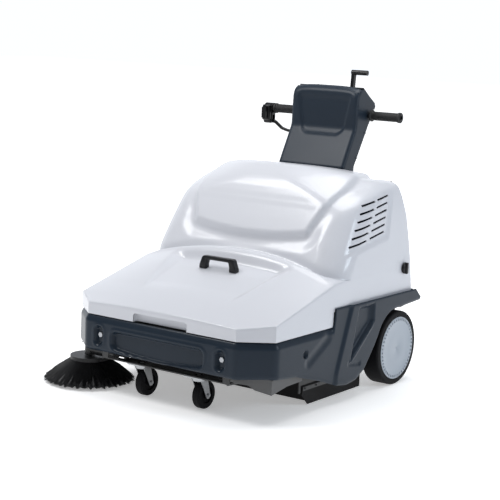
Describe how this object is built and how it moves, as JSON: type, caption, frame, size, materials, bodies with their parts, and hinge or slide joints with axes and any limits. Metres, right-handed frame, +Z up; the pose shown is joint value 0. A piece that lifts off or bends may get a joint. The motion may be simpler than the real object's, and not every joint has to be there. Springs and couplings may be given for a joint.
{
  "type": "walk-behind floor sweeper",
  "caption": "Battery walk-behind sweeper: white lift-up bonnet over dark skirt, side brush, cylinder brush, hopper, rear drive wheels, front casters, console with handlebar.",
  "frame": {"origin": "on the floor under the centre of the whole machine's box", "axes": "+Z up, +X across the machine towards its right-hand lock side as seen in the three-quarter front view, the machine sweeps towards -Y"},
  "size_m": [1.0414, 1.201, 1.1682],
  "materials": {
    "bonnet_white": "glossy moulded",
    "slate_plastic": "satin",
    "black_plastic": "satin",
    "black_steel": "semi-gloss",
    "grey_steel": "semi-gloss",
    "bright_steel": "zinc plated",
    "grip_rubber": "matte",
    "tyre": "matte",
    "rim_grey": "satin",
    "bristle": "nylon bristle",
    "filter_paper": "pleated paper",
    "safety_yellow": "satin",
    "button_green": "satin"
  },
  "bodies": {
    "chassis": {"chassis_frame": "black_steel", "front_crossmember": "grey_steel", "lower_skirt": "slate_plastic", "skirt_bolts": "bright_steel", "rear_cover": "slate_plastic", "neck_frame": "black_steel", "console_front_shell": "slate_plastic", "console_rear_shell": "slate_plastic", "console_screws": "bright_steel", "control_panel": "black_plastic", "battery_gauge": "black_plastic", "handlebar": "black_steel", "hand_grips": "grip_rubber", "lever_housing": "black_plastic", "lever_pivot": "bright_steel", "battery_tray": "black_steel", "batteries": "black_plastic", "charge_inlet": "black_plastic", "filter_housing": "black_plastic", "filter_cartridge": "filter_paper", "fan_housing": "black_plastic", "brush_motor": "black_steel", "bearings": "bright_steel", "drive_belt": "grip_rubber", "drive_unit": "black_steel", "hopper": "grey_steel", "hopper_handle": "bright_steel", "side_flaps": "grip_rubber", "end_flaps": "grip_rubber", "flap_strips": "bright_steel", "caster_plates": "bright_steel", "hinge_brackets": "bright_steel"},
    "bonnet_body": {"bonnet": "bonnet_white", "bonnet_handle": "black_plastic", "hinge_leaves": "bright_steel"},
    "lock_right": {"bonnet_lock_right": "black_plastic"},
    "lock_left": {"bonnet_lock_left": "black_plastic"},
    "wheel_right": {"tyre_right": "tyre", "rim_right": "rim_grey", "hubcap_right": "rim_grey"},
    "wheel_left": {"tyre_left": "tyre", "rim_left": "rim_grey", "hubcap_left": "rim_grey"},
    "fork_right": {"caster_fork_right": "bright_steel"},
    "fork_left": {"caster_fork_left": "bright_steel"},
    "caster_right": {"caster_wheel_right": "grip_rubber"},
    "caster_left": {"caster_wheel_left": "grip_rubber"},
    "main_brush": {"main_brush_core": "black_plastic", "main_brush_bristles": "bristle", "main_brush_pulley": "bright_steel"},
    "motor_shaft": {"motor_pulley": "bright_steel"},
    "brush_arm": {"side_brush_arm": "black_steel", "side_brush_motor": "black_steel"},
    "side_brush": {"side_brush_disc": "black_plastic", "side_brush_bristles": "bristle"},
    "brush_lift_lever": {"lift_lever": "black_steel"},
    "drive_lever": {"hand_lever": "black_plastic"},
    "safety_button": {"lock_button": "safety_yellow"},
    "ignition_key": {"key": "black_plastic"},
    "starter": {"start_button": "button_green"}
  },
  "joints": [
    {"name": "bonnet_hinge", "type": "hinge", "parent": "chassis", "child": "bonnet_body", "pos_m": [0.06825, 0.3455, 0.768], "axis": [-1, 0, 0], "range_deg": [0, 40]},
    {"name": "lock_right_turn", "type": "hinge", "parent": "bonnet_body", "child": "lock_right", "pos_m": [0.50025, 0.3995, 0.436], "axis": [1, 0, 0], "range_deg": [0, 90]},
    {"name": "lock_left_turn", "type": "hinge", "parent": "bonnet_body", "child": "lock_left", "pos_m": [-0.36375, 0.3995, 0.436], "axis": [1, 0, 0], "range_deg": [0, 90]},
    {"name": "wheel_right_roll", "type": "hinge", "parent": "chassis", "child": "wheel_right", "pos_m": [0.44525, 0.3455, 0.1415], "axis": [1, 0, 0], "continuous": true},
    {"name": "wheel_left_roll", "type": "hinge", "parent": "chassis", "child": "wheel_left", "pos_m": [-0.30875, 0.3455, 0.1415], "axis": [1, 0, 0], "continuous": true},
    {"name": "caster_right_swivel", "type": "hinge", "parent": "chassis", "child": "fork_right", "pos_m": [0.19625, -0.4615, 0.122], "axis": [0, 0, 1], "continuous": true},
    {"name": "caster_right_roll", "type": "hinge", "parent": "fork_right", "child": "caster_right", "pos_m": [0.19625, -0.4315, 0.05], "axis": [1, 0, 0], "continuous": true},
    {"name": "caster_left_swivel", "type": "hinge", "parent": "chassis", "child": "fork_left", "pos_m": [-0.05975, -0.4615, 0.122], "axis": [0, 0, 1], "continuous": true},
    {"name": "caster_left_roll", "type": "hinge", "parent": "fork_left", "child": "caster_left", "pos_m": [-0.05975, -0.4315, 0.05], "axis": [1, 0, 0], "continuous": true},
    {"name": "main_brush_turn", "type": "hinge", "parent": "chassis", "child": "main_brush", "pos_m": [0.06825, 0.0335, 0.13], "axis": [1, 0, 0], "continuous": true},
    {"name": "motor_turn", "type": "hinge", "parent": "chassis", "child": "motor_shaft", "pos_m": [0.44325, -0.0815, 0.324], "axis": [1, 0, 0], "continuous": true},
    {"name": "side_brush_lift", "type": "hinge", "parent": "chassis", "child": "brush_arm", "pos_m": [-0.15675, -0.4225, 0.14], "axis": [0, 1, 0], "range_deg": [0, 6]},
    {"name": "side_brush_turn", "type": "hinge", "parent": "brush_arm", "child": "side_brush", "pos_m": [-0.34275, -0.4225, 0.1], "axis": [0, 0, 1], "continuous": true},
    {"name": "lift_lever_tilt", "type": "hinge", "parent": "chassis", "child": "brush_lift_lever", "pos_m": [0.15525, 0.5135, 0.955], "axis": [1, 0, 0], "range_deg": [-20, 0]},
    {"name": "drive_lever_squeeze", "type": "hinge", "parent": "chassis", "child": "drive_lever", "pos_m": [-0.25675, 0.5535, 0.945], "axis": [0, -1, 0], "range_deg": [0, 15], "stiffness_Nm_per_rad": 2},
    {"name": "safety_button_push", "type": "slide", "parent": "chassis", "child": "safety_button", "axis": [0, 1, 0], "range_m": [0, 0.003], "stiffness_N_per_m": 300},
    {"name": "key_turn", "type": "hinge", "parent": "chassis", "child": "ignition_key", "pos_m": [-0.02175, 0.54636, 1.07518], "axis": [0, 0.5763, 0.8172], "range_deg": [0, 90]},
    {"name": "start_button_push", "type": "slide", "parent": "chassis", "child": "starter", "axis": [0, -0.5763, -0.8172], "range_m": [0, 0.003], "stiffness_N_per_m": 300}
  ],
  "couplings": [
    {"joint": "motor_turn", "follows": "main_brush_turn", "ratio": 1.8},
    {"joint": "lift_lever_tilt", "follows": "side_brush_lift", "ratio": -3.3333}
  ]
}
